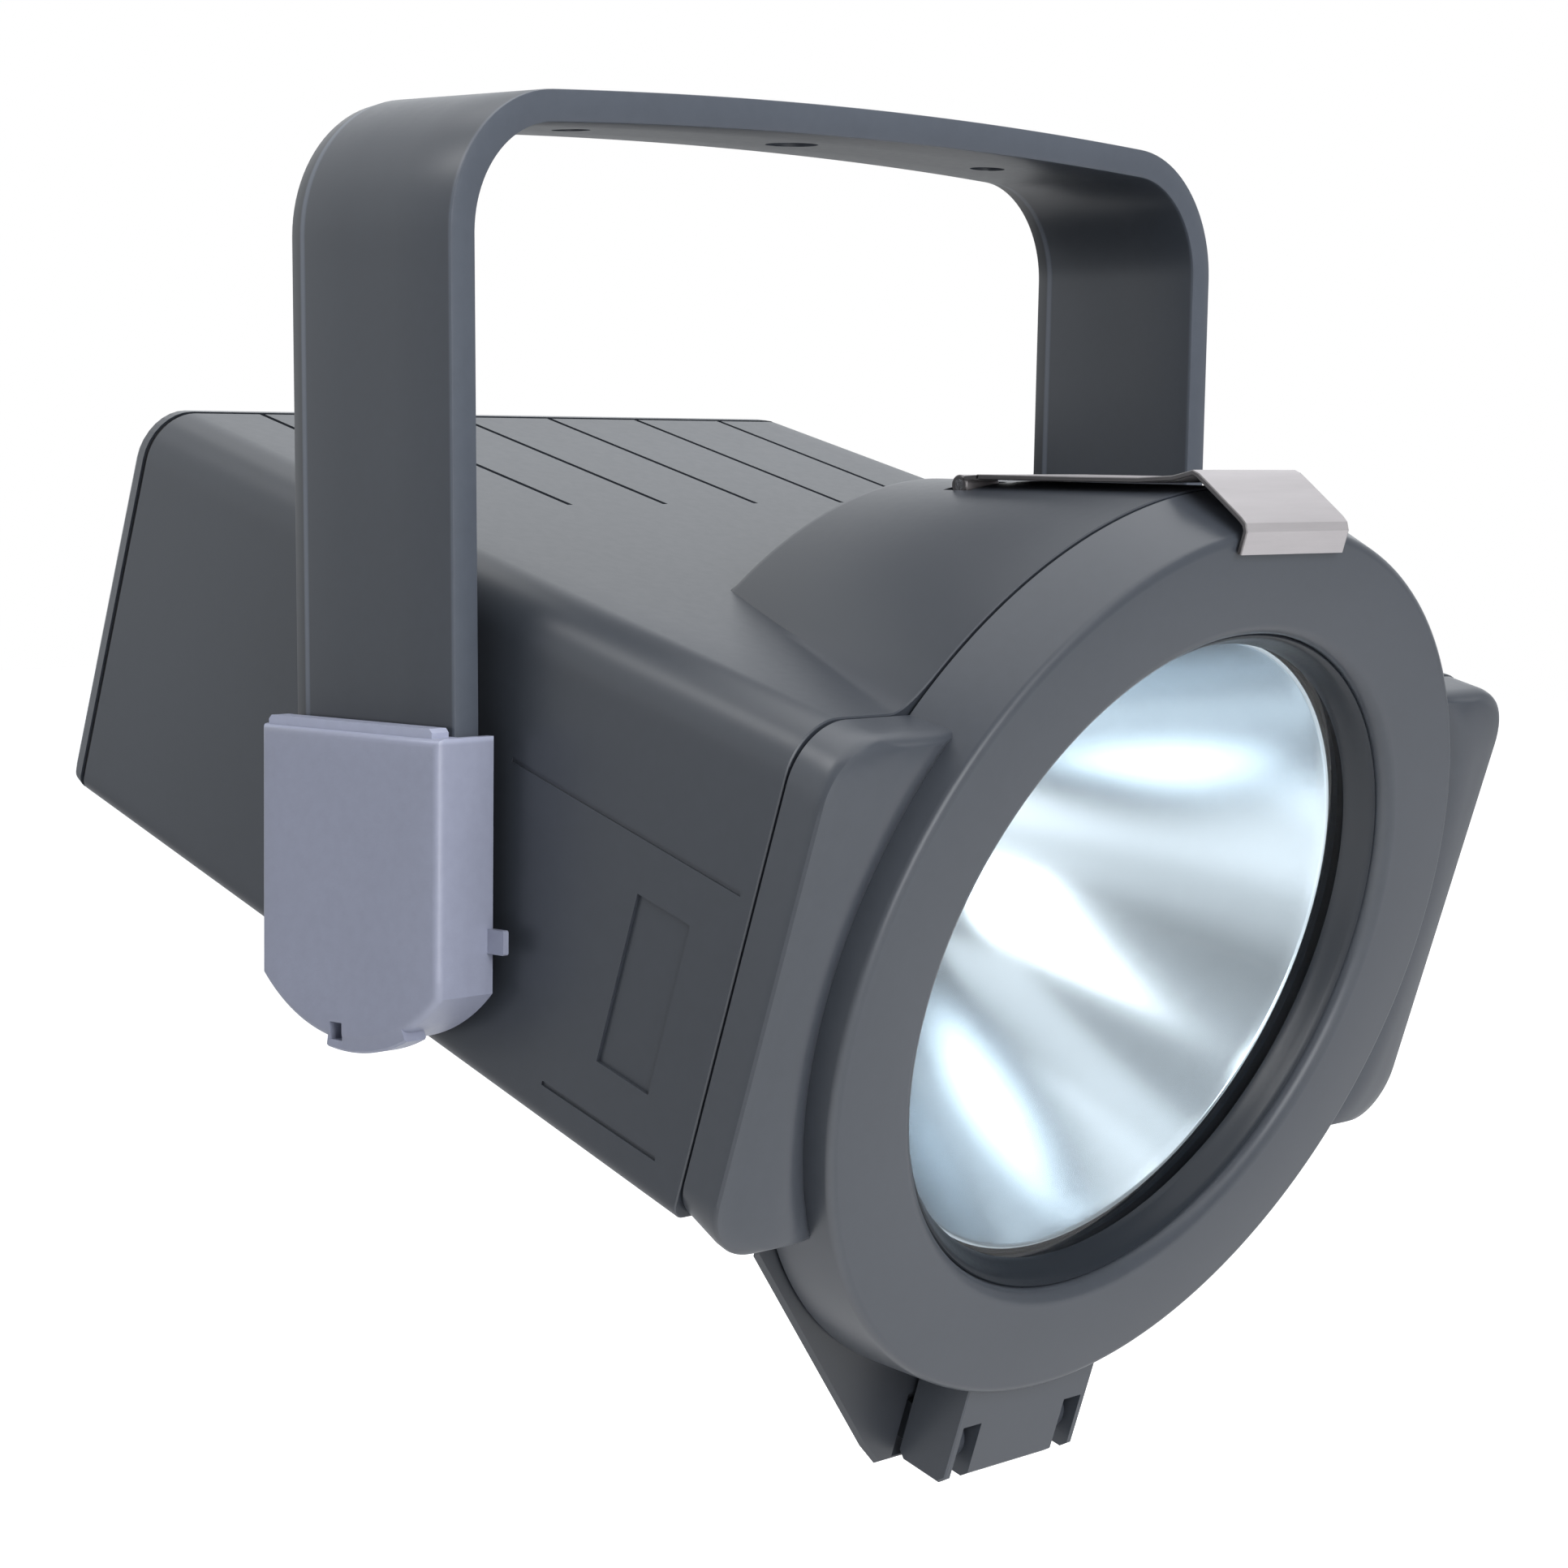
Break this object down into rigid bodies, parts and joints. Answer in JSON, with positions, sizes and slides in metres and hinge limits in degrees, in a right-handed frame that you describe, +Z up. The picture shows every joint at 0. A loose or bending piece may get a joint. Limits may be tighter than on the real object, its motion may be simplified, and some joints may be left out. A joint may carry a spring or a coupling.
{
  "type": "spotlight",
  "caption": "Closed box-shaped spotlight head with a round glazed front frame, spring clip and bottom hinge, tilting in a U-shaped strap yoke.",
  "frame": {"origin": "middle of the yoke's top face, on the axis of the hang bolt hole", "axes": "+Z up along the hang bolt hole, -Y the way the beam points seen from above, X along the tilt axis"},
  "size_m": [0.2844, 0.2941, 0.3211],
  "materials": {
    "yoke_paint": "satin powder coat on steel bar",
    "cover_plastic": "satin light bluish grey moulding",
    "steel": "zinc plated",
    "fibre": "fibre friction washer",
    "body_cast": "satin dark grey powder coat on cast aluminium",
    "rubber": "black silicone",
    "reflector_metal": "polished and anodised",
    "lamp_glass": "frosted quartz",
    "ceramic": "glazed ceramic",
    "sheet_metal": "galvanised sheet",
    "ballast_core": "varnished laminations",
    "can_metal": "drawn can",
    "white_plastic": "moulded",
    "brass": "plain",
    "lead_sleeve": "silicone sleeve",
    "black_plastic": "moulded",
    "frame_cast": "satin grey powder coat on cast aluminium",
    "lens_glass": "clear toughened glass",
    "spring_steel": "light grey spring steel"
  },
  "bodies": {
    "yoke": {"yoke": "yoke_paint", "pivot_cover_left": "cover_plastic", "pivot_cover_right": "cover_plastic"},
    "head": {"pivot_bolts": "steel", "spring_washers": "steel", "friction_washers": "fibre", "pivot_nuts": "steel", "housing": "body_cast", "front_seal": "rubber", "rear_gasket": "rubber", "rear_cover": "body_cast", "rear_screws": "steel", "hinge_pin": "steel", "clip_pin": "steel", "reflector": "reflector_metal", "reflector_screws": "steel", "lamp_bulb": "lamp_glass", "lamp_cap": "ceramic", "lamp_holder": "ceramic", "holder_screws": "steel", "holder_bracket": "sheet_metal", "gear_tray": "sheet_metal", "tray_screws": "steel", "ballast": "ballast_core", "ignitor": "can_metal", "capacitor": "can_metal", "terminal_block": "white_plastic", "earth_stud": "brass", "internal_leads": "lead_sleeve", "gland_body": "black_plastic", "gland_nut": "black_plastic", "gland_cap": "black_plastic", "gland_seal": "rubber"},
    "frame": {"front_frame": "frame_cast", "lens_glass": "lens_glass", "lens_gasket": "rubber", "glass_clips": "sheet_metal", "glass_clip_screws": "steel"},
    "clip": {"latch_clip": "spring_steel"}
  },
  "joints": [
    {"name": "head_tilt", "type": "hinge", "parent": "yoke", "child": "head", "pos_m": [0, 0, -0.1717], "axis": [1, 0, 0], "range_deg": [-37, 72]},
    {"name": "frame_open", "type": "hinge", "parent": "head", "child": "frame", "pos_m": [0, -0.06972, -0.31117], "axis": [1, 0, 0], "range_deg": [0, 95]},
    {"name": "clip_lift", "type": "hinge", "parent": "head", "child": "clip", "pos_m": [0, -0.07085, -0.08836], "axis": [-1, 0, 0], "range_deg": [0, 25], "stiffness_Nm_per_rad": 0.2, "springref_deg": -5.73}
  ]
}
